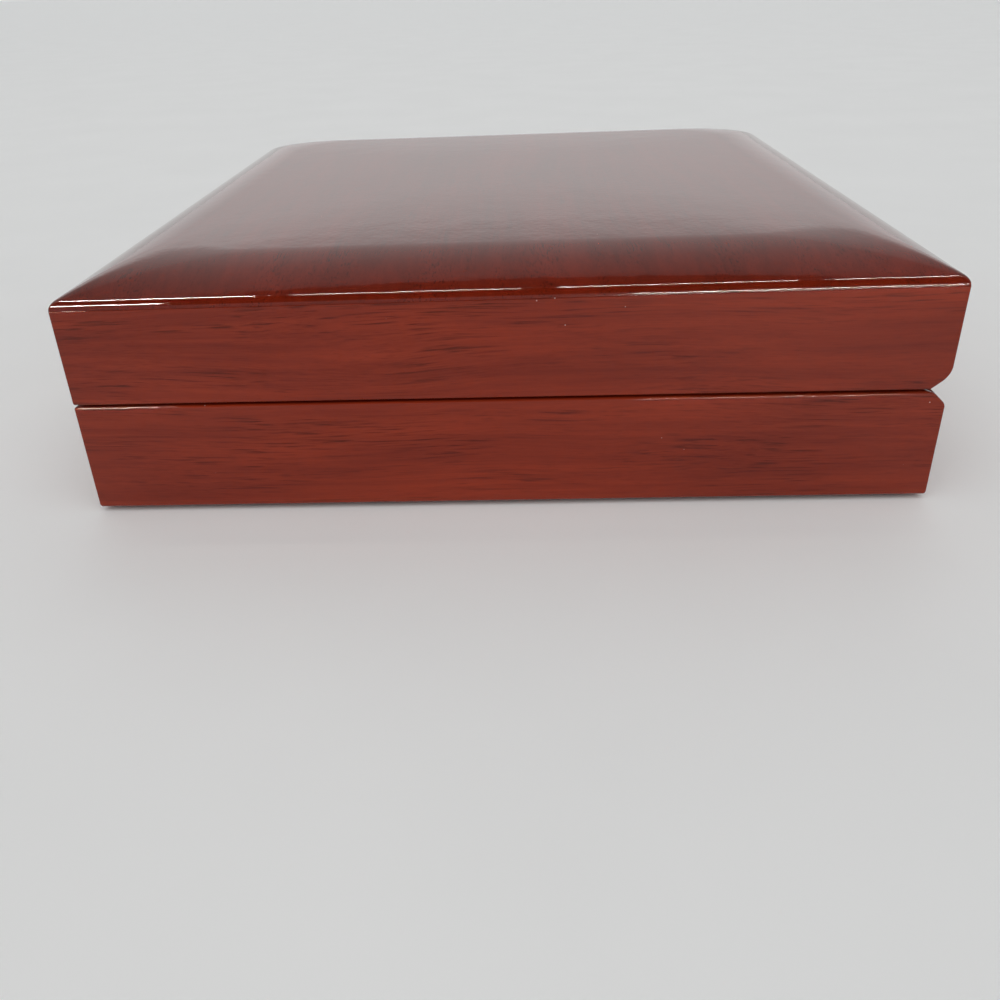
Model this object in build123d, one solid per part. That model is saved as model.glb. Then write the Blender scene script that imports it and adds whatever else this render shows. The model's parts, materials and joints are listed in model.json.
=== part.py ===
from build123d import *
import math
import os

# A lacquered wooden jewellery box, closed: a base and a pillow-topped lid on two brass hinges.
# X runs along the hinge line, Y from the opening side to the hinge side, and Z is up.
# The origin is the centre of the underside. All sizes are in millimetres.

# Outer sizes of the box
box_width = 196.0
box_depth = 185.0
wall = 12.0
base_height = 24.6
lid_height = 22.5
rim_gap = 0.5
edge_round = 0.5
bottom_round = 1.5

# Pillow top: a steep margin inside a rounded shoulder, then a shallow crown
shoulder_round = 2.0
shoulder_drop = 1.3
margin = 20.4
margin_slope = 28.6
crown_slope = 1.15
plug_depth = 3.0

# Groove between lid and base on the hinge side, which is also the lid's stop
groove_depth = 3.8
lid_bevel_angle = 38.0
lid_bevel_round = 5.0
base_land = 0.8
base_rim_round = 3.0
base_bevel_angle = 44.0
base_bevel_round = 2.0
hinge_inset = 3.2

# Bottom panel in its rabbet, and the felt under it
bottom_thickness = 4.0
rabbet = 6.0
felt_thickness = 1.0
felt_inset = 3.0

# Velvet-covered boards that line the box
liner = 1.5
liner_drop = 1.2
floor_lining = 1.5

# Dividers and ring rolls
divider = 3.0
divider_height = 16.0
front_divider_x = 0.0
long_divider_y = 0.0
roll_count = 7
roll_height = 12.0
roll_gap = 0.5

# Padded lid lining on its board
pad_board = 1.5
pad_edge = 3.0
pad_thickness = 6.5
pad_clearance = 0.4

# Hinges
hinge_from_side = 38.0
hinge_length = 24.0
knuckle_length = 8.0
knuckle_gap = 0.15
barrel_radius = 1.6
barrel_clearance = 0.3
leaf_thickness = 1.0
leaf_gap = 0.1
leaf_lip = 0.8
mortise_clearance = 0.1
pin_radius = 0.75
pin_clearance = 0.05
pin_head_radius = 1.15
pin_head = 0.4

# Hinge screws
screw_spacing = 15.0
screw_head_radius = 1.7
screw_radius = 0.9
screw_length = 8.0
screw_tip = 2.0
screw_clearance = 0.03
slot_width = 0.5
slot_depth = 0.45

# Clear bumpers that hold the rims apart on the opening side
bumper_radius = 3.0
bumper_clearance = 0.05
bumper_inset = 12.0

# Heights and places that follow from the sizes above
base_rim = felt_thickness + base_height
lid_rim = base_rim + rim_gap
seam = (base_rim + lid_rim) / 2
shoulder = lid_rim + lid_height
panel_seat = shoulder - shoulder_drop
plug_face = panel_seat - plug_depth
floor = felt_thickness + bottom_thickness
cell_floor = floor + floor_lining
inner_width = box_width - 2 * wall
inner_depth = box_depth - 2 * wall
lined_width = inner_width - 2 * liner
lined_depth = inner_depth - 2 * liner
groove_y = box_depth / 2 - groove_depth
base_bevel_depth = groove_depth - base_land
base_bevel_height = base_bevel_depth * math.tan(math.radians(base_bevel_angle))
lid_bevel_height = groove_depth * math.tan(math.radians(lid_bevel_angle))
hinge_y = box_depth / 2 - hinge_inset
leaf_width = wall - hinge_inset - leaf_lip


def outline(points, rounds):
    """Closed outline through the points, each corner rounded by its own radius."""
    sketch = make_face(Polyline(*points, close=True))
    for radius in sorted(set(rounds) - {0}):
        corners = [Vector(*point) for point, own in zip(points, rounds) if own == radius]
        chosen = [v for v in sketch.vertices() if any((Vector(v) - c).length < 1e-6 for c in corners)]
        sketch = fillet(chosen, radius)
    return sketch


def along_x(sketch, length):
    """Extrude an outline of Y and Z evenly along X."""
    return extrude(Plane.YZ * sketch, amount=length / 2, both=True)


def along_y(sketch, length):
    """Extrude an outline of X and Z evenly along Y."""
    return extrude(Plane.XZ * sketch, amount=length / 2, both=True)


def block(x_span, y_span, z_span):
    """Box between the given lowest and highest X, Y and Z."""
    sizes = [high - low for low, high in (x_span, y_span, z_span)]
    centre = [(high + low) / 2 for low, high in (x_span, y_span, z_span)]
    return Pos(*centre) * Box(*sizes)


def rod_x(x_span, radius):
    """Cylinder on the hinge axis between two places along X."""
    low, high = x_span
    return Pos((low + high) / 2, hinge_y, seam) * Rot(0, 90, 0) * Cylinder(radius, high - low)


def eased_ends(solid, sharp_height=math.inf):
    """Round the edges of both end faces, but not those at the height that must stay sharp."""
    edges = [e for e in solid.edges() if abs(abs(e.center().X) - box_width / 2) < 1e-6]
    return fillet([e for e in edges if abs(e.center().Z - sharp_height) > 1e-6], edge_round)


def corner_posts(z_span):
    """Upright prism of the box's footprint, with its four corners eased."""
    low, high = z_span
    return Pos(0, 0, low) * extrude(RectangleRounded(box_width, box_depth, edge_round), amount=high - low)


# The base frame: its outline along each direction, hollowed and rebated for the bottom panel

def base_frame():
    y = box_depth / 2
    front_to_back = outline(
        [
            (-y, felt_thickness),
            (y, felt_thickness),
            (y, base_rim - base_bevel_height),
            (groove_y + base_land, base_rim),
            (-y, base_rim),
        ],
        [bottom_round, bottom_round, base_bevel_round, base_rim_round, edge_round],
    )
    body = eased_ends(along_x(front_to_back, box_width))
    hollow = Pos(0, 0, (felt_thickness + base_rim) / 2) * Box(inner_width, inner_depth, base_height)
    return body - hollow - bottom_panel()


def bottom_panel():
    width, depth = inner_width + 2 * rabbet, inner_depth + 2 * rabbet
    return Pos(0, 0, felt_thickness + bottom_thickness / 2) * Box(width, depth, bottom_thickness)


def felt_pad():
    outer = RectangleRounded(box_width - 2 * felt_inset, box_depth - 2 * felt_inset, felt_inset)
    return extrude(outer, amount=felt_thickness)


# The lid frame stops at the seat of the top panel

def lid_frame():
    y = box_depth / 2
    front_to_back = outline(
        [
            (-y, lid_rim),
            (groove_y, lid_rim),
            (y, lid_rim + lid_bevel_height),
            (y, panel_seat),
            (-y, panel_seat),
        ],
        [edge_round, 0, lid_bevel_round, 0, 0],
    )
    body = eased_ends(along_x(front_to_back, box_width), panel_seat)
    height = panel_seat - lid_rim
    return body - Pos(0, 0, lid_rim + height / 2) * Box(inner_width, inner_depth, height)


def pillow_outline(half):
    """Section of the top panel: rounded shoulder, margin arc, crown arc, and the same mirrored."""
    steep, shallow = math.radians(margin_slope), math.radians(crown_slope)
    margin_radius = margin / (math.sin(steep) - math.sin(shallow))
    crown_radius = (half - margin) / math.sin(shallow)
    margin_x = -half + margin_radius * math.sin(steep)
    margin_z = shoulder - margin_radius * math.cos(steep)

    def on_margin(slope):
        return margin_x - margin_radius * math.sin(slope), margin_z + margin_radius * math.cos(slope)

    join_x, join_z = on_margin(shallow)
    crown_z = join_z + crown_radius * (1 - math.cos(shallow))
    middle_x, middle_z = on_margin((steep + shallow) / 2)
    edges = [
        Line((-half, shoulder), (-half, panel_seat)),
        Line((-half, panel_seat), (half, panel_seat)),
        Line((half, panel_seat), (half, shoulder)),
        ThreePointArc((half, shoulder), (-middle_x, middle_z), (-join_x, join_z)),
        ThreePointArc((-join_x, join_z), (0, crown_z), (join_x, join_z)),
        ThreePointArc((join_x, join_z), (middle_x, middle_z), (-half, shoulder)),
    ]
    sketch = make_face(edges)
    return fillet([v for v in sketch.vertices() if abs(v.Y - shoulder) < 1e-6], shoulder_round)


def lid_top_panel():
    front_to_back, across = pillow_outline(box_depth / 2), pillow_outline(box_width / 2)
    top = along_x(front_to_back, box_width) & along_y(across, box_depth)
    top &= corner_posts((lid_rim, shoulder + margin))
    plug = Pos(0, 0, panel_seat - plug_depth / 2) * Box(inner_width, inner_depth, plug_depth)
    return top + plug


def mitred_walls(frame, prefix):
    """Cut a frame into its four walls, mitred at the corners."""
    x, y = box_width / 2 + 1, box_depth / 2 + 1
    reach = wall + 2
    outer = {"front_left": (-x, -y), "front_right": (x, -y), "back_right": (x, y), "back_left": (-x, y)}
    inner = {
        corner: (px - math.copysign(reach, px), py - math.copysign(reach, py))
        for corner, (px, py) in outer.items()
    }
    ends = {
        "front": ("front_left", "front_right"),
        "right": ("front_right", "back_right"),
        "back": ("back_right", "back_left"),
        "left": ("back_left", "front_left"),
    }
    walls = {}
    for side, (start, stop) in ends.items():
        wedge = make_face(Polyline(outer[start], outer[stop], inner[stop], inner[start], close=True))
        walls[f"{prefix}_{side}_wall"] = frame & extrude(wedge, amount=shoulder)
    return walls


# Hinges: the base's leaf carries the two outer knuckles and the pin, the lid's leaf the middle one

def knuckle_spans(x):
    """Places along X of the outer pair of knuckles and of the middle one."""
    half, middle = hinge_length / 2, knuckle_length / 2
    outer = [(x - half, x - middle - knuckle_gap), (x + middle + knuckle_gap, x + half)]
    return outer, [(x - middle, x + middle)]


def screw_places(x):
    plate_inner = hinge_y - leaf_width
    plate_outer = hinge_y - barrel_radius
    y = (plate_inner + plate_outer) / 2
    return [(x - screw_spacing / 2, y), (x + screw_spacing / 2, y)]


def wood_screw():
    """Countersunk slotted screw pointing down, its head's face at Z = 0."""
    shank = screw_length - leaf_thickness
    head = Pos(0, 0, -leaf_thickness / 2) * Cone(screw_radius, screw_head_radius, leaf_thickness)
    body = Pos(0, 0, -leaf_thickness - (shank - screw_tip) / 2) * Cylinder(screw_radius, shank - screw_tip)
    tip = Pos(0, 0, -screw_length + screw_tip / 2) * Cone(screw_radius / 6, screw_radius, screw_tip)
    slot = Pos(0, 0, -slot_depth / 2) * Box(3 * screw_head_radius, slot_width, slot_depth)
    return head + body + tip - slot


def face_down(x, y, side, shape):
    """Put a downward shape on a leaf's meeting face: side -1 is the base's, +1 the lid's."""
    turn = Rot(0, 0, 0) if side < 0 else Rot(180, 0, 0)
    return Pos(x, y, seam + side * leaf_gap / 2) * turn * shape


def leaf(x, own, other, side):
    """Leaf plate with its own knuckles, cleared round the other leaf's and bored for the pin."""
    meeting = seam + side * leaf_gap / 2
    outer = meeting + side * leaf_thickness
    half = hinge_length / 2
    plate = block((x - half, x + half), (hinge_y - leaf_width, hinge_y), sorted((meeting, outer)))
    for low, high in other:
        plate -= rod_x((low - knuckle_gap, high + knuckle_gap), barrel_radius + barrel_clearance)
    for span in own:
        plate += rod_x(span, barrel_radius)
    plate -= rod_x((x - half - 1, x + half + 1), pin_radius + pin_clearance)
    sink = Pos(0, 0, -leaf_thickness / 2) * Cone(
        screw_radius + screw_clearance, screw_head_radius + screw_clearance, leaf_thickness
    )
    for place in screw_places(x):
        plate -= face_down(*place, side, sink)
    return plate


def hinge_pin(x):
    half = hinge_length / 2
    pin = rod_x((x - half, x + half), pin_radius)
    for low, high in ((x - half - pin_head, x - half), (x + half, x + half + pin_head)):
        pin += rod_x((low, high), pin_head_radius)
    return pin


def hinge_recess(x, side):
    """Wood that a hinge takes away from one rim: leaf mortise, barrel notch and screw holes."""
    half = hinge_length / 2 + mortise_clearance
    deep = seam + side * (leaf_gap / 2 + leaf_thickness)
    shallow = seam - side * rim_gap
    cut = block(
        (x - half, x + half),
        (hinge_y - leaf_width - mortise_clearance, hinge_y + barrel_radius),
        sorted((deep, shallow)),
    )
    notch_half = hinge_length / 2 + pin_head + barrel_clearance
    cut += rod_x((x - notch_half, x + notch_half), barrel_radius + barrel_clearance)
    hole = Pos(0, 0, -screw_length / 2 - screw_clearance) * Cylinder(screw_radius + screw_clearance, screw_length)
    for place in screw_places(x):
        cut += face_down(*place, side, hole)
    return cut


# Linings, dividers and ring rolls

def liner_boards(prefix, z_span):
    x, y = inner_width / 2, inner_depth / 2
    return {
        f"{prefix}_front_liner": block((-x, x), (-y, -y + liner), z_span),
        f"{prefix}_back_liner": block((-x, x), (y - liner, y), z_span),
        f"{prefix}_left_liner": block((-x, -x + liner), (-y + liner, y - liner), z_span),
        f"{prefix}_right_liner": block((x - liner, x), (-y + liner, y - liner), z_span),
    }


def divider_along_x(x_span, y):
    board = block(x_span, (y - divider / 2, y + divider / 2), (cell_floor, cell_floor + divider_height))
    return fillet(board.edges().filter_by(Axis.X).group_by(Axis.Z)[-1], divider * 0.4)


def divider_along_y(x, y_span):
    board = block((x - divider / 2, x + divider / 2), y_span, (cell_floor, cell_floor + divider_height))
    return fillet(board.edges().filter_by(Axis.Y).group_by(Axis.Z)[-1], divider * 0.4)


def ring_rolls():
    """Round-topped rolls side by side in the front left cell, each along X."""
    x_low, x_high = -lined_width / 2, front_divider_x - divider / 2
    y_low, y_high = -lined_depth / 2, long_divider_y - divider / 2
    pitch = (y_high - y_low) / roll_count
    radius = (pitch - roll_gap) / 2
    spring = cell_floor + roll_height - radius
    section = Pos(0, (cell_floor + spring) / 2) * Rectangle(2 * radius, spring - cell_floor)
    section += Pos(0, spring) * Circle(radius)
    roll = along_x(section, x_high - x_low - roll_gap)
    centre = (x_low + x_high) / 2
    return {
        f"ring_roll_{index + 1}": Pos(centre, y_low + pitch * (index + 0.5), 0) * roll
        for index in range(roll_count)
    }


def lid_pad():
    """Padded panel, flat against its board and crowned towards the inside of the box."""
    top = plug_face - pad_board
    halves = [(size / 2) - pad_clearance for size in (lined_width, lined_depth)]
    sections = []
    for half in halves:
        edges = [
            Line((-half, top - pad_edge), (-half, top)),
            Line((-half, top), (half, top)),
            Line((half, top), (half, top - pad_edge)),
            ThreePointArc((half, top - pad_edge), (0, top - pad_thickness), (-half, top - pad_edge)),
        ]
        sections.append(make_face(edges))
    return along_x(sections[1], lined_width) & along_y(sections[0], lined_depth)


def lid_pad_board():
    x, y = lined_width / 2 - pad_clearance, lined_depth / 2 - pad_clearance
    return block((-x, x), (-y, y), (plug_face - pad_board, plug_face))


def rim_bumper(side):
    x = side * (box_width / 2 - bumper_inset)
    y = -(box_depth - wall) / 2
    height = rim_gap - bumper_clearance
    return Pos(x, y, base_rim + height / 2) * Cylinder(bumper_radius, height)


# Assembly

nodes = {"base_bottom_panel": bottom_panel(), "felt_pad": felt_pad()}
base_wood, lid_wood = base_frame(), lid_frame()
hinge_places = {"left": hinge_from_side - box_width / 2, "right": box_width / 2 - hinge_from_side}
for side, x in hinge_places.items():
    outer, middle = knuckle_spans(x)
    nodes[f"{side}_hinge_base_leaf"] = leaf(x, outer, middle, -1)
    nodes[f"{side}_hinge_lid_leaf"] = leaf(x, middle, outer, 1)
    nodes[f"{side}_hinge_pin"] = hinge_pin(x)
    base_wood -= hinge_recess(x, -1)
    lid_wood -= hinge_recess(x, 1)
for prefix, side in (("base", -1), ("lid", 1)):
    nodes[f"{prefix}_hinge_screws"] = Compound(
        [face_down(*place, side, wood_screw()) for x in hinge_places.values() for place in screw_places(x)]
    )
nodes |= mitred_walls(base_wood, "base")
nodes |= mitred_walls(lid_wood, "lid")
nodes["lid_top_panel"] = lid_top_panel()

nodes |= liner_boards("base", (floor, base_rim - liner_drop))
nodes |= liner_boards("lid", (lid_rim + liner_drop, plug_face))
nodes["base_floor_lining"] = block(
    (-lined_width / 2, lined_width / 2), (-lined_depth / 2, lined_depth / 2), (floor, cell_floor)
)
nodes["long_divider"] = divider_along_x((-lined_width / 2, lined_width / 2), long_divider_y)
nodes["front_divider"] = divider_along_y(front_divider_x, (-lined_depth / 2, long_divider_y - divider / 2))
back_cell = (lined_width - 2 * divider) / 3
for side, x in (("left", -(back_cell + divider) / 2), ("right", (back_cell + divider) / 2)):
    nodes[f"back_{side}_divider"] = divider_along_y(x, (long_divider_y + divider / 2, lined_depth / 2))
nodes |= ring_rolls()
nodes["lid_pad_board"] = lid_pad_board()
nodes["lid_pad"] = lid_pad()
nodes["left_rim_bumper"] = rim_bumper(-1)
nodes["right_rim_bumper"] = rim_bumper(1)

os.makedirs("parts", exist_ok=True)
for name, shape in nodes.items():
    export_step(shape, f"parts/{name}.step")

print(f"hinge axis at y {hinge_y:.2f}, z {seam:.2f}")
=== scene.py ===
"""A lacquered wooden jewelry box with a hinged, pillow-topped lid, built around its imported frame.

X runs along the hinge line, Y from the opening side to the hinge side, and Z is up. Lengths are in metres.
"""

import json

import bmesh
import bpy
import numpy as np
from mathutils import Matrix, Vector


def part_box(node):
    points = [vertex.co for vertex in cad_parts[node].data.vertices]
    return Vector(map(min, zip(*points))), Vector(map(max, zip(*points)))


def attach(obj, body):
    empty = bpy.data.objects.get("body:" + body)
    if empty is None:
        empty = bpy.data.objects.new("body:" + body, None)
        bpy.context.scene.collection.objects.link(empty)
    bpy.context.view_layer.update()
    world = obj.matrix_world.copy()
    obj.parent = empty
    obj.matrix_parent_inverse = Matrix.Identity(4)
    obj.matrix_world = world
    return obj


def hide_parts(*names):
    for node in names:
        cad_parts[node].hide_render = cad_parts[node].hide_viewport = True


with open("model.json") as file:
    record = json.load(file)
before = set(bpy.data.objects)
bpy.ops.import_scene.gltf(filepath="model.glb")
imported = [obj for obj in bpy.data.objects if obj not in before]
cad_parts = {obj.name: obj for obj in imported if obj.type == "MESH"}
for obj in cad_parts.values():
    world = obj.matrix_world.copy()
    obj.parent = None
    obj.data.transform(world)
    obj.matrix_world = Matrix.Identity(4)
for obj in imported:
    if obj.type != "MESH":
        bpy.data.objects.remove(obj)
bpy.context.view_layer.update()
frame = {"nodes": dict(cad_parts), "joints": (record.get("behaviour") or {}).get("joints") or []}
mm = 0.001


# Camera
# It stands close to one end of the box, a little above the lid, and looks down along the hinge line.
# Focal length and turn come from the perspective of the box's corners in a frame 1000 pixels square.

frame_pixels = 1000
focal_pixels = 932.4
camera_place = np.array([280.24, 3.90, 103.19]) * mm
yaw, pitch, roll = np.radians([-1.79, 29.16, 1.77])

forward = np.array([-np.cos(yaw) * np.cos(pitch), np.sin(yaw) * np.cos(pitch), -np.sin(pitch)])
level = np.array([np.sin(yaw), np.cos(yaw), 0.0])
down = np.cross(forward, level)
right = level * np.cos(roll) + down * np.sin(roll)
up = level * np.sin(roll) - down * np.cos(roll)
pose = np.eye(4)
pose[:3] = np.column_stack([right, up, -forward, camera_place])
camera = bpy.data.objects.new("camera", bpy.data.cameras.new("camera"))
camera.data.sensor_width = 36
camera.data.lens = camera.data.sensor_width * focal_pixels / frame_pixels
camera.data.clip_start, camera.data.clip_end = 0.01, 100
camera.matrix_world = Matrix(pose.tolist())
bpy.context.scene.collection.objects.link(camera)
bpy.context.scene.camera = camera
bpy.context.scene.view_settings.view_transform = "Standard"


# Floor and light
# A plain pale floor under a pale surround, dark overhead and dark where the photographer stands.
# Rows of thin lamps seen only by the gloss draw the bright lines, and a soft one lights the rest.

class Wire:
    """Socket that gives a value. Each operator on it adds the Math node that works the result out."""

    def __init__(self, mix, socket):
        self.mix = mix
        self.socket = socket

    def math(self, operation, *values, **settings):
        sockets = dict(enumerate(values))
        return self.mix.node("ShaderNodeMath", {"operation": operation, **settings}, sockets)

    def __add__(self, other):
        return self.math("ADD", self, other)

    def __sub__(self, other):
        return self.math("SUBTRACT", self, other)

    def __rsub__(self, other):
        return self.math("SUBTRACT", other, self)

    def __mul__(self, other):
        return self.math("MULTIPLY", self, other)

    __radd__ = __add__
    __rmul__ = __mul__

    def above(self, low, high):
        """0 below the low value, 1 over the high one, with a straight climb between."""
        return self.mix.node("ShaderNodeMapRange", {}, {"Value": self, "From Min": low, "From Max": high})


class Mix:
    """A tree of shader nodes, emptied and laid out afresh."""

    def __init__(self, owner):
        owner.use_nodes = True
        self.owner = owner
        self.tree = owner.node_tree
        self.tree.nodes.clear()

    def node(self, kind, settings, sockets, output=0):
        """Add a node: its type, its settings, then the value or the wire that each socket takes."""
        made = self.tree.nodes.new(kind)
        for name, value in settings.items():
            if name == "stops":
                ramp = made.color_ramp.elements
                for place, colour in value[2:]:
                    ramp.new(place)
                for element, (place, colour) in zip(ramp, value):
                    element.position, element.color = place, colour
            else:
                setattr(made, name, value)
        for name, value in sockets.items():
            if isinstance(value, Wire):
                self.tree.links.new(value.socket, made.inputs[name])
            else:
                made.inputs[name].default_value = value
        return Wire(self, made.outputs[output]) if made.outputs else None

    def tint(self, share, first, second, blend="MIX"):
        """Colour between two others, by a share from 0 to 1."""
        factor, colour_a, colour_b, colour_out = 0, 6, 7, 2
        settings = {"data_type": "RGBA", "blend_type": blend, "clamp_factor": True}
        sockets = {factor: share, colour_a: first, colour_b: second}
        return self.node("ShaderNodeMix", settings, sockets, colour_out)

    def where(self):
        """Place on the piece in millimetres."""
        place = self.node("ShaderNodeTexCoord", {}, {}, "Object")
        return self.node("ShaderNodeVectorMath", {"operation": "SCALE"}, {"Vector": place, "Scale": 1 / mm})

    def stretched(self, place, lengths):
        """Place counted in steps of the given length along each axis."""
        steps = tuple(1 / length for length in lengths)
        return self.node("ShaderNodeVectorMath", {"operation": "MULTIPLY"}, {0: place, 1: steps})

    def clouds(self, place, detail=2.0, roughness=0.5, output="Fac"):
        """Soft noise with one lump to a step."""
        sockets = {"Vector": place, "Scale": 1.0, "Detail": detail, "Roughness": roughness}
        return self.node("ShaderNodeTexNoise", {}, sockets, output)

    def relief(self, height, depth, under=None):
        """Normal of a surface raised by a height from 0 to 1, as deep as given."""
        sockets = {"Height": height, "Distance": depth}
        if under:
            sockets["Normal"] = under
        return self.node("ShaderNodeBump", {}, sockets)

    def surface(self, **sockets):
        """End the tree in a Principled surface and give its material back."""
        named = {name.replace("_", " "): value for name, value in sockets.items()}
        shader = self.node("ShaderNodeBsdfPrincipled", {}, named)
        self.node("ShaderNodeOutputMaterial", {}, {"Surface": shader})
        return self.owner


def grey(level):
    """Opaque grey of a level from 0 to 1."""
    return (level, level, level, 1.0)


def pale_floor():
    """Matt white board, faintly clouded."""
    mix = Mix(bpy.data.materials.new("pale_floor"))
    mottle = mix.clouds(mix.stretched(mix.where(), (60, 60, 60)), 3).above(0.3, 0.7)
    colour = mix.tint(mottle, (0.885, 0.90, 0.90, 1), (0.905, 0.92, 0.92, 1))
    return mix.surface(Base_Color=colour, Roughness=0.6, Specular_IOR_Level=0.2)


floor_half = 20.0
corners = [(x * floor_half, y * floor_half, 0) for x, y in ((-1, -1), (1, -1), (1, 1), (-1, 1))]
floor_mesh = bpy.data.meshes.new("floor")
floor_mesh.from_pydata(corners, [], [(0, 1, 2, 3)])
floor = bpy.data.objects.new("floor", floor_mesh)
bpy.context.scene.collection.objects.link(floor)
floor_mesh.materials.append(pale_floor())

# Grey of the surround at each elevation in degrees
surround = [
    (0, 0.76), (8, 0.80), (11, 0.93), (13.5, 0.95), (16, 0.68), (24, 0.66), (35, 0.74),
    (50, 0.70), (58, 0.64), (61.5, 0.50), (62.7, 0.16), (74, 0.04),
]
sky = Mix(bpy.data.worlds.new("surround"))
bpy.context.scene.world = sky.owner
direction = sky.node("ShaderNodeTexCoord", {}, {}, "Generated")
ahead, aside, height = (sky.node("ShaderNodeSeparateXYZ", {}, {"Vector": direction}, axis) for axis in "XYZ")
stops = [(float(np.sin(np.radians(angle))), grey(shade)) for angle, shade in surround]
tent = sky.node("ShaderNodeValToRGB", {"stops": stops}, {"Fac": height}, "Color")
photographer = ahead.above(0.0, 0.2) * (1 - (aside * aside).above(0.15, 0.35)) * height.above(0.25, 0.42)
flanks = (aside * aside).above(0.10, 0.26) * height.above(0.20, 0.32)
shade = sky.tint(photographer * 0.94, sky.tint(flanks * 0.6, tent, grey(0.05)), grey(0.02))
glow = sky.node("ShaderNodeBackground", {}, {"Color": shade})
sky.node("ShaderNodeOutputWorld", {}, {"Surface": glow})


def strip_lamp(name, place, size, radiance):
    """Level strip of light that only glossy surfaces see."""
    lamp = bpy.data.lights.new(name, "AREA")
    lamp.shape = "RECTANGLE"
    lamp.size, lamp.size_y = size
    lamp.energy = radiance * np.pi * size[0] * size[1]
    lamp.color = (1.0, 0.88, 0.80)
    holder = bpy.data.objects.new(name, lamp)
    holder.location = place
    holder.visible_camera = holder.visible_diffuse = False
    bpy.context.scene.collection.objects.link(holder)


overhead_radiance = (560, 260, 260, 260)
overhead_size, overhead_pitch = (0.05, 0.82), 0.93
overhead_middle = (len(overhead_radiance) - 1) / 2
near_radiance = 420
for index, radiance in enumerate(overhead_radiance):
    place = (-0.84, 0.04 + (index - overhead_middle) * overhead_pitch, 3.0)
    strip_lamp(f"overhead_{index}", place, overhead_size, radiance)
strip_lamp("near_left", (1.58, -1.175, 1.39), (0.12, 0.65), near_radiance)
strip_lamp("near_right", (2.20, 0.775, 0.20), (0.36, 1.05), near_radiance)

soft_tilt, soft_spread = np.radians([31, 80])  # from upright, towards the camera, and across the light
soft_lamp = bpy.data.lights.new("soft_overhead", "SUN")
soft_lamp.energy, soft_lamp.angle = 1.45, soft_spread
soft_holder = bpy.data.objects.new("soft_overhead", soft_lamp)
soft_holder.rotation_euler = (0, soft_tilt, 0)
soft_holder.visible_glossy = False
bpy.context.scene.collection.objects.link(soft_holder)


# Base walls
# Four solid boards of stained hardwood, mitred at the corners, glued, rounded over and lacquered.
# The rim is bevelled on the hinge side, and the back board is let in for the hinge leaves and barrels.

edge_round = 0.5 * mm
bottom_round = 1.0 * mm
groove = 3.8 * mm
base_land = 0.8 * mm
# Depth, angle in degrees, radius of the arc at the rim and of the arc at the side
bevels = {"base": (groove - base_land, 44, 3.0 * mm, 2.0 * mm), "lid": (groove, 38, 0.0, 5.0 * mm)}
side_arc_points, rim_arc_points, barrel_points = 12, 7, 9
corner_run = 13 * mm
hair_step = 0.01 * mm
leaf_thickness = 1.0 * mm
leaf_gap = 0.05 * mm
leaf_clearance = 0.1 * mm
barrel_radius = 1.6 * mm
barrel_clearance = 0.3 * mm
pin_head = 0.4 * mm
half_width, half_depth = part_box("lid_top_panel")[1].x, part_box("lid_top_panel")[1].y
wall = half_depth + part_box("base_front_wall")[1].y
hinge_y, seam = frame["joints"][0]["pos_m"][1:]
rim_level = {"base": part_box("base_front_wall")[1].z, "lid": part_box("lid_front_wall")[0].z}
leaf_boxes = [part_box(f"{side}_hinge_base_leaf") for side in ("left", "right")]


def lacquered_wood(name, along_x, light, dark, seed):
    """Stained wood under clear gloss: slow bands, fine fibre and soft dark pores along the grain."""
    mix = Mix(bpy.data.materials.new(name))
    turn = 0.0 if along_x else np.pi / 2
    place = (41.0 * seed, 17.0 * seed, 9.0 * seed)
    sockets = {"Vector": mix.where(), "Rotation": (0, 0, turn), "Location": place}
    grain = mix.node("ShaderNodeMapping", {}, sockets)
    sway = mix.clouds(mix.stretched(grain, (80, 25, 25)), 1, output="Color")
    shift = mix.node("ShaderNodeVectorMath", {"operation": "MULTIPLY_ADD"}, {0: sway, 1: (0, 7, 7), 2: grain})
    patches = mix.clouds(mix.stretched(shift, (90, 16, 16)), 2)
    bands = mix.clouds(mix.stretched(shift, (60, 2.0, 2.0)), 2, 0.55)
    fibre = mix.clouds(mix.stretched(shift, (9, 0.22, 0.22)), 2, 0.6)
    tone = patches.above(0.36, 0.64) * 0.4 + bands.above(0.35, 0.65) * 0.35 + fibre.above(0.3, 0.7) * 0.25
    gather = mix.clouds(mix.stretched(shift, (40, 6, 6)), 1).above(0.40, 0.62)
    streaks = mix.clouds(mix.stretched(shift, (12, 0.42, 0.42)), 2, 0.55).above(0.52, 0.70)
    pores = mix.clouds(mix.stretched(shift, (3.5, 0.2, 0.2)), 1).above(0.60, 0.76)
    stain = mix.tint(tone, dark, light)
    deep_stain = (0.50 * dark[0], 0.50 * dark[1], 0.25 * dark[2], 1)
    colour = mix.tint(streaks * gather * 0.8 + pores * 0.25, stain, deep_stain)
    nibs = {"Vector": mix.stretched(mix.where(), (7, 7, 7)), "Scale": 1.0, "Randomness": 1.0}
    speck = mix.node("ShaderNodeTexVoronoi", {}, nibs, "Distance")
    colour = mix.tint((1 - speck.above(0.013, 0.024)) * 0.6, colour, (0.75, 0.55, 0.48, 1))
    peel = mix.clouds(mix.stretched(mix.where(), (1.6, 1.6, 1.6)), 1)
    waves = mix.clouds(mix.stretched(mix.where(), (8, 8, 8)), 1)
    normal = mix.relief(waves, 0.03 * mm, mix.relief(peel, 0.012 * mm))
    haze = mix.clouds(mix.stretched(mix.where(), (30, 30, 30)), 1)
    return mix.surface(
        Base_Color=colour, Roughness=0.015 + haze * 0.025, IOR=1.5, Specular_IOR_Level=0.29, Normal=normal
    )


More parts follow.
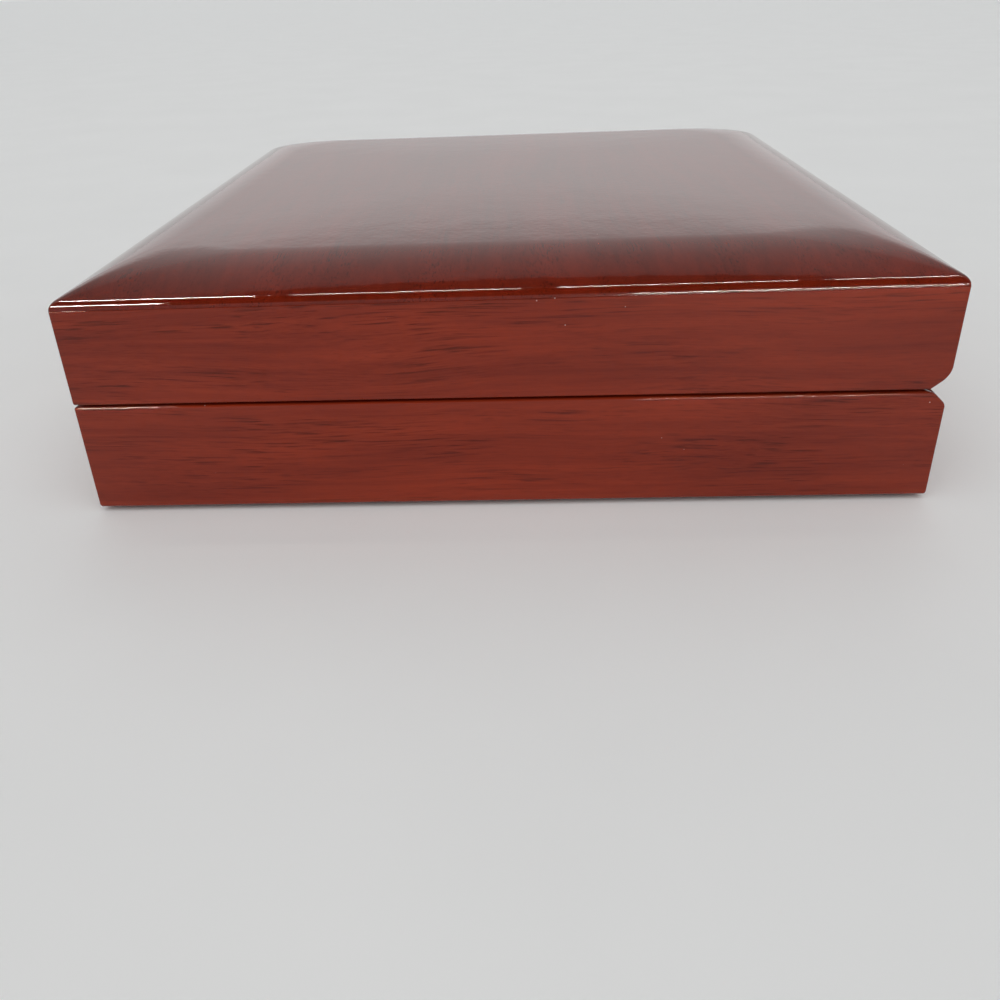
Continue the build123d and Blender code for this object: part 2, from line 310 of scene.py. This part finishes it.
def skin(rows, columns):
    """Corner numbers of the quads between neighbouring points of a grid whose last column meets its first."""
    number = np.arange(rows * columns).reshape(rows, columns)
    ahead = np.roll(number, -1, 1)
    return np.stack([number[:-1], ahead[:-1], ahead[1:], number[1:]], -1).reshape(-1, 4)


def make_piece(name, grid, body, finish, stands_for, capped=False, crease=35):
    """Piece whose skin is a grid of points, each row a closed ring. Its ends are points, or are capped."""
    rows, columns = grid.shape[:2]
    faces = skin(rows, columns).tolist()
    if capped:
        ends = np.arange(columns)
        faces += [ends[::-1].tolist(), (ends + (rows - 1) * columns).tolist()]
    mesh = bpy.data.meshes.new(name)
    mesh.from_pydata(grid.reshape(-1, 3).tolist(), [], faces)
    return finish_piece(name, mesh, body, finish, stands_for, crease)


def close_mesh(mesh, near, slight):
    """Merge points that are near each other, dissolve slight edges and faces and turn every face out."""
    work = bmesh.new()
    work.from_mesh(mesh)
    bmesh.ops.remove_doubles(work, verts=work.verts, dist=near)
    bmesh.ops.dissolve_degenerate(work, edges=work.edges, dist=slight)
    bmesh.ops.recalc_face_normals(work, faces=work.faces)
    work.to_mesh(mesh)
    work.free()


def finish_piece(name, mesh, body, finish, stands_for, crease=35):
    """Close a mesh's seams, shade it smooth between creases in degrees and put it on its body."""
    close_mesh(mesh, 0.001 * mm, 0.0005 * mm)
    mesh.shade_smooth()
    mesh.set_sharp_from_angle(angle=np.radians(crease))
    mesh.materials.clear()
    mesh.materials.append(finish)
    piece = bpy.data.objects.new(name, mesh)
    bpy.context.scene.collection.objects.link(piece)
    even = piece.modifiers.new("even_shading", "WEIGHTED_NORMAL")
    even.keep_sharp = True
    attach(piece, body)
    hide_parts(*stands_for)
    return piece


def quarter(radius, count=7):
    """Depths and falls along a quarter turn that rounds an edge, from the first face to the second."""
    turn = np.linspace(0, np.pi / 2, count)
    return radius * (1 - np.cos(turn)), radius * (1 - np.sin(turn))


def bevel_rows(body):
    """Depths from the outer face along the bevel's two arcs: the one to the face, then the one to the rim."""
    depth, angle, rim_arc, side_arc = bevels[body]
    angle = np.radians(angle)
    to_side = side_arc * (1 - np.cos(np.linspace(0, np.pi / 2 - angle, side_arc_points)))
    to_rim = depth + rim_arc * (np.tan(angle / 2) - np.sin(np.linspace(0, angle, rim_arc_points)))
    return np.concatenate([to_side, to_rim])


def bevel_drop(body, y):
    """How far the bevel has left the rim: an arc, a straight slope, then an arc that ends upright."""
    depth, angle, rim_arc, side_arc = bevels[body]
    angle = np.radians(angle)
    start = half_depth - depth
    leave = start - rim_arc * np.tan(angle / 2)
    off_rim = rim_arc - np.sqrt(np.maximum(rim_arc**2 - np.maximum(y - leave, 0) ** 2, 0))
    slanted = (y - start) * np.tan(angle)
    centre = half_depth - side_arc
    deepest = (centre - start) * np.tan(angle) + side_arc / np.cos(angle)
    to_side = deepest - np.sqrt(np.maximum(side_arc**2 - (y - centre) ** 2, 0))
    drop = np.where(y < leave + rim_arc * np.sin(angle), off_rim, slanted)
    return np.maximum(np.where(y > centre + side_arc * np.sin(angle), to_side, drop), 0)


def rim_drop(body, x, y):
    """How far the wood lies behind the rim's level: the bevel, the leaf mortises and the barrel notches."""
    drop = bevel_drop(body, y)
    rim_from_axis = abs(seam - rim_level[body])
    for low, high in leaf_boxes:
        middle, half = (low.x + high.x) / 2, (high.x - low.x) / 2
        off = np.abs(x - middle)
        in_leaf = (off < half + leaf_clearance) & (y > low.y - leaf_clearance) & (y < hinge_y + barrel_radius)
        drop = np.where(in_leaf, np.maximum(drop, leaf_gap + leaf_thickness - rim_from_axis), drop)
        bore = np.maximum((barrel_radius + barrel_clearance) ** 2 - (y - hinge_y) ** 2, 0)
        in_notch = (off < half + pin_head + barrel_clearance) & (bore > 0)
        drop = np.where(in_notch, np.maximum(drop, np.sqrt(bore) - rim_from_axis), drop)
    return drop


wall_sides = {"front": (1, 0), "right": (0, 1), "back": (-1, 0), "left": (0, -1)}
mitre_turn = np.linspace(0, np.pi / 4, 5)[1:]  # a board's corner turns this far before the mitre cuts it


def mitred_wall(body, side, far_rows):
    """Grid of one board: a section of depths and heights carried along it and cut at the mitres.

    A point of depth d stops where it meets the mitre. One within the rounding turns about its centre.
    """
    back = side == "back"
    outward = 1 if body == "base" else -1
    barrel_turn = np.linspace(0, np.pi, barrel_points)
    barrel_rows = half_depth - hinge_y + (barrel_radius + barrel_clearance) * np.cos(barrel_turn)
    mortise = half_depth - (leaf_boxes[0][0].y - leaf_clearance)
    steps = [mortise - hair_step, mortise + hair_step] if back else []
    shaped = np.concatenate([bevel_rows(body), barrel_rows]) if back else []
    rim_depth = np.unique(np.concatenate([quarter(edge_round)[0], shaped, [wall / 2, wall], steps]).round(9))
    depth = np.concatenate([rim_depth, [row[0] for row in far_rows]])
    height = np.concatenate([np.full(len(rim_depth), rim_level[body]), [row[1] for row in far_rows]])
    on_rim = np.arange(len(depth)) < len(rim_depth)
    lift = np.sqrt(np.maximum(edge_round**2 - np.maximum(edge_round - depth, 0) ** 2, 0))
    fall = (edge_round - lift) * on_rim

    half, offset = (half_width, half_depth) if side in ("front", "back") else (half_depth, half_width)
    places = [half - corner_run, half * 0.75, half * 0.5, half * 0.25]
    if back:
        for low, high in leaf_boxes:
            for edge in (leaf_clearance, pin_head + barrel_clearance):
                for end in (low.x - edge, high.x + edge):
                    places += [abs(end) - hair_step, abs(end) + hair_step]
    elif side != "front":
        places += (half - bevel_rows(body)).tolist()
    places = np.unique(np.round(places, 9))
    corner = np.full(len(mitre_turn), half)
    stations = np.concatenate([-corner, -places[::-1], [0], places, corner])
    turns = np.concatenate([mitre_turn[::-1], np.zeros(len(places) * 2 + 1), mitre_turn])[:, None]

    loose = np.maximum(edge_round - depth, 0)
    reach = half - np.maximum(depth, edge_round)
    run = np.clip(stations[:, None], -reach, reach) + np.sign(stations)[:, None] * loose * np.sin(turns)
    inset = depth + loose * (1 - np.cos(turns))
    along = np.array(wall_sides[side])
    inward = np.array([-along[1], along[0]])
    plan = run[..., None] * along + (inset - offset)[..., None] * inward
    eased = (1 - np.cos(turns)) / (1 - np.cos(mitre_turn[-1])) if back else 1.0
    behind = fall * eased + on_rim * rim_drop(body, plan[..., 0], plan[..., 1])
    return np.dstack([plan, height - outward * behind])


base_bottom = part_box("base_front_wall")[0].z
panel_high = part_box("base_bottom_panel")[1]
rabbet = half_width - panel_high.x
bottom_depth, bottom_fall = quarter(bottom_round)
base_far_rows = [
    (wall, panel_high.z),
    (rabbet, panel_high.z),
    (rabbet, base_bottom),
    *zip(bottom_depth[::-1], base_bottom + bottom_fall[::-1]),
]
side_light, side_dark = (0.268, 0.028, 0.008, 1), (0.138, 0.0115, 0.0035, 1)
grain_along_x = lacquered_wood("lacquered_wood_long", True, side_light, side_dark, 1)
grain_along_y = lacquered_wood("lacquered_wood_end", False, side_light, side_dark, 2)
wall_finish = {"front": grain_along_x, "back": grain_along_x, "left": grain_along_y, "right": grain_along_y}
for side, finish in wall_finish.items():
    grid = mitred_wall("base", side, base_far_rows)
    stands_for = [f"base_{side}_wall"]
    make_piece(f"base_{side}_board", grid, "base", finish, stands_for, capped=True)


# Bottom panel and felt
# A raw board glued into a rabbet closes the base, and a sheet of black felt is glued over it.
# The felt keeps the lacquer off what the box stands on, and leaves a thin shadow under the walls.

def fibreboard():
    """Raw pressed board: pale brown fibres lying every way."""
    mix = Mix(bpy.data.materials.new("raw_fibreboard"))
    fibres = mix.clouds(mix.stretched(mix.where(), (1.8, 0.3, 0.6)), 4, 0.7)
    patches = mix.clouds(mix.stretched(mix.where(), (25, 25, 25)), 2)
    tone = fibres.above(0.3, 0.7) * 0.7 + patches.above(0.3, 0.7) * 0.3
    colour = mix.tint(tone, (0.33, 0.23, 0.14, 1), (0.54, 0.41, 0.28, 1))
    return mix.surface(Base_Color=colour, Roughness=0.85 + fibres * 0.1, Normal=mix.relief(fibres, 0.08 * mm))


def black_felt():
    """Short black felt: a tangle of fine fibres with a few grey ones."""
    mix = Mix(bpy.data.materials.new("black_felt"))
    tangle = mix.clouds(mix.stretched(mix.where(), (0.5, 0.5, 0.5)), 4, 0.75)
    wads = mix.clouds(mix.stretched(mix.where(), (6, 6, 6)), 2)
    tone = tangle.above(0.35, 0.75) * 0.7 + wads.above(0.3, 0.7) * 0.3
    colour = mix.tint(tone, (0.012, 0.012, 0.013, 1), (0.045, 0.045, 0.048, 1))
    normal = mix.relief(tangle, 0.2 * mm)
    return mix.surface(
        Base_Color=colour, Roughness=0.95, Specular_IOR_Level=0.2, Sheen_Weight=0.15, Normal=normal,
    )


def rounded_rings(half_x, half_y, radius, side_points=14, turn_points=8):
    """Rounded rectangles, one for each size, with the same points on each: quarter turns and straights."""
    turn = np.linspace(0, np.pi / 2, turn_points)
    straight = np.linspace(0, 1, side_points + 2)[1:-1]
    signs = np.array([(1, 1), (-1, 1), (-1, -1), (1, -1)])
    own, following, share, angle = [], [], [], []
    for corner in range(4):
        own += [corner] * (turn_points + side_points)
        following += [(corner + 1) % 4] * (turn_points + side_points)
        share += [0.0] * turn_points + straight.tolist()
        angle += (turn + corner * np.pi / 2).tolist() + [(corner + 1) * np.pi / 2] * side_points
    half_x, half_y, radius = (np.asarray(size, float).reshape(-1, 1) for size in (half_x, half_y, radius))
    share, angle = np.array(share), np.array(angle)
    sign = signs[own] * (1 - share)[:, None] + signs[following] * share[:, None]
    x = sign[:, 0] * (half_x - radius) + radius * np.cos(angle)
    y = sign[:, 1] * (half_y - radius) + radius * np.sin(angle)
    return x, y


def rounded_slab(low, high, corner, top_round, bottom_round):
    """Grid of a board: a rounded rectangle, drawn in by a quarter turn and closed to a point at each end."""
    top_inset, top_fall = quarter(top_round, 5)
    low_inset, low_fall = quarter(bottom_round, 5)
    inset = np.concatenate([low_inset[::-1], top_inset])
    height = np.concatenate([low.z + low_fall[::-1], high.z - top_fall])
    half = [(high.x - low.x) / 2, (high.y - low.y) / 2]
    x, y = rounded_rings(half[0] - inset, half[1] - inset, np.maximum(corner - inset, hair_step))
    closed = np.zeros((1, x.shape[1]))
    x = np.vstack([closed, x, closed]) + (high.x + low.x) / 2
    y = np.vstack([closed, y, closed]) + (high.y + low.y) / 2
    height = np.concatenate([[low.z], height, [high.z]])
    return np.dstack([x, y, np.broadcast_to(height[:, None], x.shape)])


raw_board = fibreboard()
for slot in frame["nodes"]["base_bottom_panel"].material_slots:
    slot.material = raw_board
felt_corner, felt_top_edge, felt_low_edge = 3.0 * mm, 0.3 * mm, 0.05 * mm
felt_sheet = rounded_slab(*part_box("felt_pad"), felt_corner, felt_top_edge, felt_low_edge)
make_piece("felt_sheet", felt_sheet, "base", black_felt(), ["felt_pad"])


# Floor lining and liner boards
# Thin boards wrapped in champagne velvet, their edges soft with the turned cloth.
# The floor board is laid first, and the four sides are glued round it, a little below the rim.

def velvet(name, light, dark):
    """Short pile: broad soft areas that lie one way or the other, over fine tufts."""
    mix = Mix(bpy.data.materials.new(name))
    brushed = mix.clouds(mix.stretched(mix.where(), (24, 14, 14)), 3, 0.55)
    strokes = mix.clouds(mix.stretched(mix.where(), (9, 2.2, 2.2)), 2, 0.6)
    tufts = mix.clouds(mix.stretched(mix.where(), (0.45, 0.45, 0.45)), 3, 0.75)
    tone = brushed.above(0.35, 0.65) * 0.4 + strokes.above(0.3, 0.7) * 0.25 + tufts.above(0.3, 0.7) * 0.35
    colour = mix.tint(tone, dark, light)
    normal = mix.relief(tufts, 0.16 * mm, mix.relief(strokes, 0.15 * mm))
    return mix.surface(
        Base_Color=colour, Roughness=0.95, Specular_IOR_Level=0.15, Normal=normal,
        Sheen_Weight=0.55, Sheen_Roughness=0.35, Sheen_Tint=(1.0, 0.93, 0.82, 1),
    )


champagne_velvet = velvet("champagne_velvet", (0.70, 0.58, 0.43, 1), (0.50, 0.39, 0.27, 1))
turned_edge = 0.6 * mm
liner_corner = 0.3 * mm
floor_board = rounded_slab(*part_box("base_floor_lining"), turned_edge, turned_edge, hair_step)
make_piece("velvet_floor", floor_board, "base", champagne_velvet, ["base_floor_lining"])
for side in wall_sides:
    board = rounded_slab(*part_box(f"base_{side}_liner"), liner_corner, turned_edge, hair_step)
    make_piece(f"base_{side}_velvet", board, "base", champagne_velvet, [f"base_{side}_liner"])


# Dividers
# Boards wrapped in the same velvet: one right across the base, one in front of it and two behind it.
# The cloth is drawn over their tops, which are rounder than the liners'.

divider_corner = 0.4 * mm
divider_edge = 1.3 * mm
for node in ("long_divider", "front_divider", "back_left_divider", "back_right_divider"):
    board = rounded_slab(*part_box(node), divider_corner, divider_edge, hair_step)
    make_piece(f"velvet_{node}", board, "base", champagne_velvet, [node])


# Ring rolls
# Seven rolls of foam in velvet, flat below and round above, glued side by side. Rings stand between them.
# The velvet is drawn over each end and gathered there in small folds.

roll_corner = 1.2 * mm
roll_end = 2.4 * mm
roll_points = 30
slow_swell, fine_swell = 0.008, 0.006
gather_folds = 11
gather_depth = 0.35 * mm
gather_level = 0.45
cap_share = np.array([0, 0.25, 0.5, 0.7, 0.85])


def roll_section(half, height):
    """Outline of a roll about its middle: rounded lower corners, upright sides and a half circle on top."""
    corner_turn = np.linspace(-np.pi / 2, 0, 6)
    top_turn = np.linspace(0, np.pi, 23)
    corner_y = half - roll_corner + roll_corner * np.cos(corner_turn)
    corner_z = roll_corner * (1 + np.sin(corner_turn))
    bottom = np.linspace(-1, 1, 8)[1:-1] * (half - roll_corner)
    y = np.concatenate([corner_y, half * np.cos(top_turn), -corner_y[::-1], bottom])
    low = np.zeros(len(bottom))
    z = np.concatenate([corner_z, height - half + half * np.sin(top_turn), corner_z[::-1], low])
    return y, z


def ring_roll(low, high, seed):
    """Grid of a roll: its section carried along X, swelling a little, drawn in and gathered at both ends."""
    half, height, length = (high.y - low.y) / 2, high.z - low.z, high.x - low.x
    section_y, section_z = roll_section(half, height)
    end_inset, end_run = quarter(roll_end)
    cap_inset = (1 - cap_share) * (half - roll_end) + roll_end
    cap_run = np.zeros(len(cap_share))
    body_run = np.linspace(roll_end, length - roll_end, roll_points)[1:-1]
    body_inset = np.zeros(len(body_run))
    inset = np.concatenate([cap_inset, end_inset[::-1], body_inset, end_inset, cap_inset[::-1]])
    run = np.concatenate([cap_run, end_run[::-1], body_run, length - end_run, cap_run + length])
    drawn = 1 - inset / half
    share = run / length
    swell = 1 + slow_swell * np.sin(share * 9 + seed) + fine_swell * np.sin(share * 23 + 2.1 * seed)
    angle = np.arctan2(section_z - height / 2, section_y)
    rim = np.clip(1 - inset / half, 0, 1) * np.clip(inset / roll_end, 0, 1)
    folds = gather_depth * rim[:, None] * np.sin(gather_folds * angle + seed + np.sin(2 * angle + seed))
    outward = np.where(run < length / 2, -1, 1)[:, None]
    x = low.x + gather_depth + run[:, None] * (1 - 2 * gather_depth / length) + outward * folds
    y = (low.y + high.y) / 2 + (drawn * swell)[:, None] * section_y
    middle = height * gather_level
    z = low.z + np.maximum(middle + drawn[:, None] * (section_z - middle), 0)
    return np.dstack([x, y, z])


roll_count, seed_step = 7, 1.7
roll_velvet = velvet("roll_velvet", (0.72, 0.60, 0.45, 1), (0.47, 0.36, 0.25, 1))
for index in range(1, roll_count + 1):
    grid = ring_roll(*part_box(f"ring_roll_{index}"), seed_step * index)
    stands_for = [f"ring_roll_{index}"]
    roll = make_piece(f"velvet_roll_{index}", grid, "base", roll_velvet, stands_for, crease=70)


# Lid walls
# Four boards like the base's, cut from one frame. Their top edge rises a little towards the hinge side.

lid_rise = 0.007
joint_ease = 0.05 * mm
lid_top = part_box("lid_front_wall")[1].z


def leaned(grid):
    """Lift a part of the lid by its distance towards the hinges, growing with its height above the rim."""
    share = np.clip((grid[..., 2] - rim_level["lid"]) / (lid_top - rim_level["lid"]), 0, 1)
    return np.dstack([grid[..., :2], grid[..., 2] + lid_rise * grid[..., 1] * share])


for side, finish in wall_finish.items():
    far_rows = [(wall, lid_top), (joint_ease, lid_top), (0, lid_top - joint_ease)]
    grid = leaned(mitred_wall("lid", side, far_rows))
    make_piece(f"lid_{side}_board", grid, "lid", finish, [f"lid_{side}_wall"], capped=True)


# Lid panel
# One thick board with a plug that drops inside the walls, its face moulded to a low pillow and veneered.
# The margin is an arc that flattens inwards. The crown is so low that, leaned, it keeps the CAD height.

shoulder_drop = 1.3 * mm
shoulder_round = 2.0 * mm
margin = 20.4 * mm
steep, shallow = np.radians([28.6, 1.15])
corner_growth = 0.95
margin_points, margin_rows, crown_rows = 400, 28, 25

margin_radius = margin / (np.sin(steep) - np.sin(shallow))
shoulder = lid_top + shoulder_drop
margin_inset = np.linspace(0, margin, margin_points)
slope = np.arcsin(np.sin(steep) - margin_inset / margin_radius)
margin_rise = margin_radius * (np.cos(slope) - np.cos(steep))
margin_line = np.column_stack([margin_inset, shoulder + margin_rise])
offset_line = margin_line - shoulder_round * np.column_stack([-np.sin(slope), np.cos(slope)])
touch = np.argmax(offset_line[:, 0] >= shoulder_round)
round_centre = offset_line[touch]
round_angle = np.linspace(0, np.pi / 2 - slope[touch], 12)
shoulder_inset = round_centre[0] - shoulder_round * np.cos(round_angle)
shoulder_height = round_centre[1] + shoulder_round * np.sin(round_angle)
margin_pick = np.linspace(touch, margin_points - 1, margin_rows).astype(int)[1:]
inset = np.concatenate([[joint_ease, 0], shoulder_inset, margin_line[margin_pick, 0]])
height = np.concatenate([[lid_top, lid_top + joint_ease], shoulder_height, margin_line[margin_pick, 1]])
radius = edge_round + corner_growth * inset
margin_x, margin_y = rounded_rings(half_width - inset, half_depth - inset, radius)

crown_share = np.linspace(1, 0, crown_rows)[1:]
crown_radius = (half_depth - margin) / np.sin(shallow)
level_rise = crown_radius * (1 - np.cos(shallow))
lean = lid_rise * (half_depth - margin)
crown_rise = (level_rise + np.sqrt(level_rise**2 - lean**2)) / 2
crown_x, crown_y = margin_x[-1] * crown_share[:, None], margin_y[-1] * crown_share[:, None]
crown_height = height[-1] + crown_rise * (1 - crown_share**2)

plug_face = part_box("lid_top_panel")[0].z
plug_share = np.array([0, 1, 1])
plug_x, plug_y = rounded_rings(
    (half_width - wall) * plug_share, (half_depth - wall) * plug_share, joint_ease * plug_share
)
panel_x = np.vstack([plug_x, margin_x, crown_x])
panel_y = np.vstack([plug_y, margin_y, crown_y])
panel_z = np.concatenate([[plug_face, plug_face, lid_top], height, crown_height])
panel_grid = np.dstack([panel_x, panel_y, np.broadcast_to(panel_z[:, None], panel_x.shape)])
above_plug = len(plug_share)
panel_grid[above_plug:] = leaned(panel_grid[above_plug:])
top_light, top_dark = (0.185, 0.015, 0.004, 1), (0.10, 0.0085, 0.002, 1)
lid_veneer = lacquered_wood("lacquered_wood_top", True, top_light, top_dark, 3)
make_piece("pillow_panel", panel_grid, "lid", lid_veneer, ["lid_top_panel"])


# Hinges
# Two brass butt hinges let into the rims, each with three knuckles on a headed pin.
# Eight slotted countersunk screws hold their leaves.

def polished_brass():
    """Drawn brass: fine lines along the leaf, lightly browned in patches."""
    mix = Mix(bpy.data.materials.new("polished_brass"))
    lines = mix.clouds(mix.stretched(mix.where(), (7, 0.09, 0.09)), 2, 0.6)
    bloom = mix.clouds(mix.stretched(mix.where(), (3, 3, 3)), 3, 0.6)
    colour = mix.tint(bloom.above(0.45, 0.75) * 0.3, (0.86, 0.63, 0.28, 1), (0.48, 0.29, 0.12, 1))
    roughness = 0.20 + lines.above(0.3, 0.7) * 0.08 + bloom.above(0.45, 0.75) * 0.10
    normal = mix.relief(lines, 0.0012 * mm)
    return mix.surface(Base_Color=colour, Metallic=1.0, Roughness=roughness, Normal=normal)


brass = polished_brass()


def brass_piece(node, name, body):
    """Smooth copy of a CAD node, its flat faces joined again and its edges broken by a fine bevel."""
    mesh = frame["nodes"][node].data.copy()
    work = bmesh.new()
    work.from_mesh(mesh)
    bmesh.ops.remove_doubles(work, verts=work.verts, dist=0.001 * mm)
    bmesh.ops.dissolve_limit(work, angle_limit=np.radians(1), verts=work.verts, edges=work.edges)
    work.to_mesh(mesh)
    work.free()
    piece = finish_piece(name, mesh, body, brass, [node], crease=32)
    edge = piece.modifiers.new("broken_edge", "BEVEL")
    edge.width, edge.segments, edge.angle_limit = 0.06 * mm, 2, np.radians(50)
    edge.limit_method = "ANGLE"
    piece.modifiers.move(1, 0)
    return piece


for side in ("left", "right"):
    brass_piece(f"{side}_hinge_base_leaf", f"{side}_lower_leaf", "base")
    brass_piece(f"{side}_hinge_lid_leaf", f"{side}_upper_leaf", "lid")
    brass_piece(f"{side}_hinge_pin", f"{side}_pin", "base")
brass_piece("base_hinge_screws", "lower_leaf_screws", "base")
brass_piece("lid_hinge_screws", "upper_leaf_screws", "lid")


# Lid liners
# Velvet-covered boards like the base's, glued inside the lid's walls round its padded panel.

for side in wall_sides:
    low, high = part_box(f"lid_{side}_liner")
    board = rounded_slab(low, high, liner_corner, turned_edge, hair_step)
    board[..., 2] = low.z + high.z - board[..., 2]
    make_piece(f"lid_{side}_velvet", board, "lid", champagne_velvet, [f"lid_{side}_liner"])


# Padded lid lining
# Foam under champagne satin, drawn round a thin board and glued into the lid. The cloth is cut too large.
# A cloth simulation blows it up from a flatter pad, held at its back edge, so that it creases by itself.

for slot in frame["nodes"]["lid_pad_board"].material_slots:
    slot.material = raw_board

pad_low, pad_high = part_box("lid_pad")
pad_start_edge = 2.4 * mm
pad_start_rise = 1.2 * mm
pad_turn = np.array([0.0, 0.0, 0.35]) * mm
pad_climb = (0.0, 0.55, 0.9)
pad_inset = 1.1 * mm
pad_cell = 2.6 * mm
pad_limit = 3.2 * mm
model_scale = 10
blown_frames = 12


def satin():
    """Satin: long fine threads that catch the light one way, with a few thicker ones."""
    mix = Mix(bpy.data.materials.new("champagne_satin"))
    warp = mix.clouds(mix.stretched(mix.where(), (7, 0.16, 0.5)), 2, 0.6)
    weft = mix.clouds(mix.stretched(mix.where(), (0.16, 3, 0.5)), 1, 0.6)
    hang = mix.clouds(mix.stretched(mix.where(), (40, 25, 25)), 2)
    tone = warp.above(0.3, 0.7) * 0.5 + weft.above(0.3, 0.7) * 0.2 + hang.above(0.3, 0.7) * 0.3
    colour = mix.tint(tone, (0.58, 0.47, 0.33, 1), (0.76, 0.65, 0.49, 1))
    normal = mix.relief(warp + weft * 0.5, 0.02 * mm)
    return mix.surface(
        Base_Color=colour, Roughness=0.26 + warp * 0.12, Specular_IOR_Level=0.8, Normal=normal,
        Sheen_Weight=0.25, Sheen_Roughness=0.3, Sheen_Tint=(1.0, 0.95, 0.85, 1), Anisotropic=0.4,
    )


def pad_grid():
    """Grid of the pad's cloth: its three outer rings climb the sides and turn over, the rest is a low crown.

    The crown rises by the square root of (1 - u^2)(1 - v^2), with u and v from -1 to 1 over the face.
    """
    half = np.array([pad_high.x - pad_low.x, pad_high.y - pad_low.y]) / 2
    counts = np.round(2 * half / pad_cell).astype(int) + 1
    lines, rings = [], []
    border = len(pad_turn)
    draw = np.array([*pad_turn, pad_inset])
    for size, count in zip(half, counts):
        order = np.arange(count)
        ring = np.minimum(order, order[::-1])
        inner = np.interp(order, [border, count - 1 - border], [-1, 1]) * (size - pad_inset)
        edge = np.sign(order - (count - 1) / 2) * (size - draw[np.minimum(ring, border)])
        lines.append(np.where(ring < border, edge, inner))
        rings.append(ring)
    x, y = np.meshgrid(*lines, indexing="ij")
    ring = np.minimum(rings[0][:, None], rings[1][None, :])
    climb = np.array([*pad_climb, 1.0])[np.minimum(ring, border)]
    crown = np.sqrt((1 - (x / half[0]) ** 2) * (1 - (y / half[1]) ** 2))
    return np.dstack([x, y, pad_high.z - climb * pad_start_edge - crown * pad_start_rise])


def places_of(mesh):
    """Places of a mesh's points, one to a row."""
    places = np.empty(len(mesh.vertices) * 3)
    mesh.vertices.foreach_get("co", places)
    return places.reshape(-1, 3)


def pad_mesh(grid):
    """Closed mesh of the pad: the grid as its face and sides, and one flat face at its back."""
    rows, columns = grid.shape[:2]
    number = np.arange(rows * columns).reshape(rows, columns)
    quads = np.stack([number[:-1, :-1], number[1:, :-1], number[1:, 1:], number[:-1, 1:]], -1).reshape(-1, 4)
    rim = np.concatenate([number[:-1, 0], number[-1, :-1], number[:0:-1, -1], number[0, :0:-1]])
    mesh = bpy.data.meshes.new("satin_pad")
    mesh.from_pydata(grid.reshape(-1, 3).tolist(), [], quads.tolist() + [rim.tolist()])
    close_mesh(mesh, hair_step, hair_step / 10)
    return mesh


def blown_up(mesh, held):
    """Places of the mesh's points after a larger copy is filled with air as cloth, held at its back."""
    loose_mesh = mesh.copy()
    loose_mesh.transform(Matrix.Scale(model_scale, 4))
    loose = bpy.data.objects.new("loose_satin", loose_mesh)
    bpy.context.scene.collection.objects.link(loose)
    loose.vertex_groups.new(name="held").add(held.tolist(), 1.0, "REPLACE")
    cloth = loose.modifiers.new("satin", "CLOTH")
    cloth.settings.vertex_group_mass = "held"
    cloth.settings.quality = 5
    cloth.settings.mass = 0.25
    cloth.settings.tension_stiffness = cloth.settings.compression_stiffness = 200
    cloth.settings.shrink_min = -0.018
    cloth.settings.use_pressure = True
    cloth.settings.uniform_pressure_force = 0.3
    cloth.settings.effector_weights.gravity = 0
    for step in range(1, blown_frames + 1):
        bpy.context.scene.frame_set(step)
    places = places_of(loose.evaluated_get(bpy.context.evaluated_depsgraph_get()).to_mesh())
    bpy.context.scene.frame_set(1)
    bpy.data.objects.remove(loose)
    bpy.data.meshes.remove(loose_mesh)
    return places / model_scale


satin_mesh = pad_mesh(pad_grid())
start = places_of(satin_mesh)
held = np.flatnonzero(start[:, 2] > pad_high.z - hair_step)
moved = blown_up(satin_mesh, held) - start
length = np.linalg.norm(moved, axis=1, keepdims=True)
moved *= pad_limit * np.tanh(length / pad_limit) / np.maximum(length, hair_step)
places = np.clip(start + moved, np.array(pad_low) + hair_step, np.array(pad_high) - hair_step)
places[held] = start[held]
satin_mesh.vertices.foreach_set("co", places.reshape(-1))
satin_pad = finish_piece("satin_pad", satin_mesh, "lid", satin(), ["lid_pad"], crease=60)
finer = satin_pad.modifiers.new("finer", "SUBSURF")
finer.levels = finer.render_levels = 1
satin_pad.modifiers.move(1, 0)


# Bumpers
# Two clear rubber dots stuck on the front rim. They hold the rims apart and quieten the lid.

def clear_rubber():
    """Clear rubber with a little dust on it."""
    mix = Mix(bpy.data.materials.new("clear_rubber"))
    dust = mix.clouds(mix.stretched(mix.where(), (0.8, 0.8, 0.8)), 3, 0.7)
    colour = mix.tint(dust, (0.82, 0.81, 0.77, 1), (0.93, 0.92, 0.90, 1))
    return mix.surface(Base_Color=colour, Roughness=0.2 + dust * 0.2, IOR=1.45, Transmission_Weight=0.6)


dome_share = 0.7
turn = np.linspace(0, 2 * np.pi, 48, endpoint=False)
dome = np.linspace(0, np.pi / 2, 8)
bumper_rubber = clear_rubber()
for side in ("left", "right"):
    low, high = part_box(f"{side}_rim_bumper")
    bumper_round = (high.z - low.z) * dome_share
    radius = (high.x - low.x) / 2
    out = np.concatenate([[0, radius, radius], radius - bumper_round * (1 - np.cos(dome)), [0]])
    top = high.z - bumper_round * (1 - np.sin(dome))
    rise = np.concatenate([[low.z, low.z, high.z - bumper_round], top, [high.z]])
    x = (low.x + high.x) / 2 + out[:, None] * np.cos(turn)
    y = (low.y + high.y) / 2 + out[:, None] * np.sin(turn)
    grid = np.dstack([x, y, np.broadcast_to(rise[:, None], x.shape)])
    make_piece(f"{side}_bumper", grid, "base", bumper_rubber, [f"{side}_rim_bumper"])
